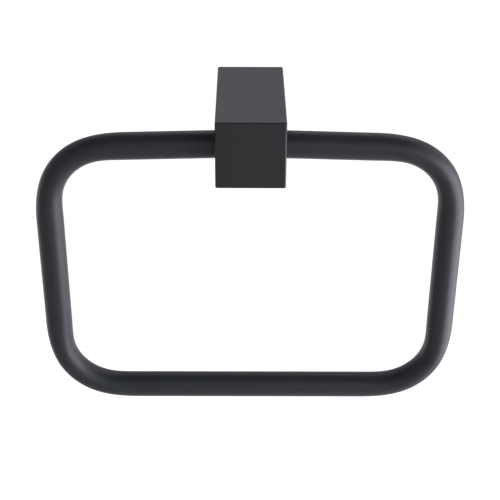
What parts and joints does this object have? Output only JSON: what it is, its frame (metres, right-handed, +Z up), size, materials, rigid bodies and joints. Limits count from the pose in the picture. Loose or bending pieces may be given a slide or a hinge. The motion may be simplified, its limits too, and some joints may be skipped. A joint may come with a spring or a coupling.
{
  "type": "towel ring",
  "caption": "Wall-mounted towel ring: a round bar bent to a rounded rectangle, with both ends held in a square post that clamps onto a hidden wall bracket.",
  "frame": {"origin": "on the wall plane and on the axis of the square post, midway between the wall screw holes", "axes": "+Y into the wall, so that the post stands out along -Y; +Z up; +X to the right as seen from the room"},
  "size_m": [0.189, 0.066, 0.147],
  "materials": {
    "post_coating": "satin",
    "ring_coating": "satin",
    "plated_steel": "satin",
    "screw_steel": "satin"
  },
  "bodies": {
    "root": {"post": "post_coating", "ring": "ring_coating", "wall_bracket": "plated_steel", "ring_lock_screws": "screw_steel", "bracket_set_screw": "screw_steel"}
  },
  "joints": []
}
